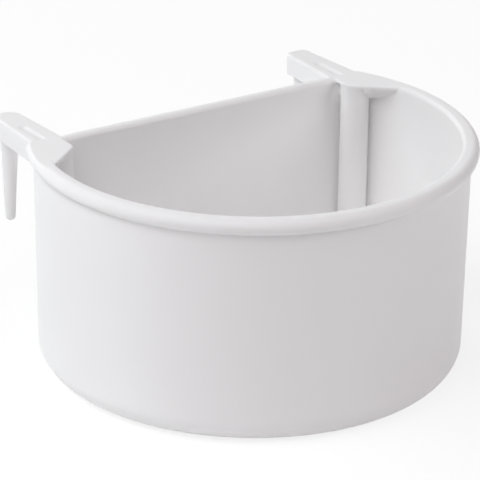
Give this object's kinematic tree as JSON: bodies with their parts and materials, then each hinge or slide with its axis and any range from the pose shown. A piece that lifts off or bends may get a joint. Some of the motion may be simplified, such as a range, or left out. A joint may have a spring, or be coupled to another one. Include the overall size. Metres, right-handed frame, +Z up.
{
  "type": "seed cup",
  "caption": "Half-round plastic seed cup with a rolled rim, a flat back and two hook arms that hang it on cage bars.",
  "frame": {"origin": "on the flat underside, below the centre of the round front", "axes": "+X along the flat back wall to the right as seen from the front, +Y out of the back wall towards the hooks, +Z up"},
  "size_m": [0.1, 0.0918, 0.053],
  "materials": {
    "plastic": "semi-gloss moulded"
  },
  "bodies": {
    "root": {"base": "plastic", "curved_wall": "plastic", "back_wall": "plastic", "rim_bead": "plastic", "left_column": "plastic", "right_column": "plastic", "left_arm": "plastic", "right_arm": "plastic", "left_peg": "plastic", "right_peg": "plastic"}
  },
  "joints": []
}
